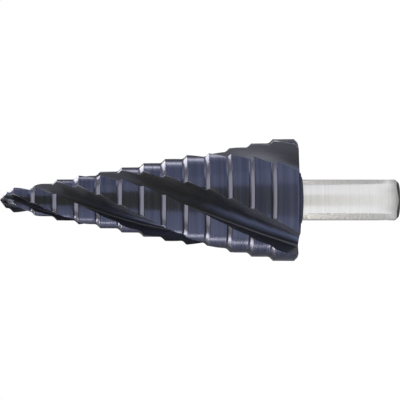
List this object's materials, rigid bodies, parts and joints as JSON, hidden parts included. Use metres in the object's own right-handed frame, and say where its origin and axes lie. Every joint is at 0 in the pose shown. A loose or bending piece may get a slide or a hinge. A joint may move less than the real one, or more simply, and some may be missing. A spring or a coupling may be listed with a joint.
{
  "type": "step drill",
  "caption": "Step drill with spiral flutes, a split point and a straight shank with flats, for opening round holes in sheet metal in stepped sizes.",
  "frame": {"origin": "centre of the flat end face of the shank", "axes": "+Z along the drill's axis from the shank to the point, +X is the side that faces up when the drill lies as in the picture with its point to the left"},
  "size_m": [0.0298, 0.0298, 0.097],
  "materials": {
    "coated_steel": "ground high speed steel with a dark violet-blue coating on the head and a bright ground shank"
  },
  "bodies": {
    "root": {"step_drill": "coated_steel"}
  },
  "joints": []
}
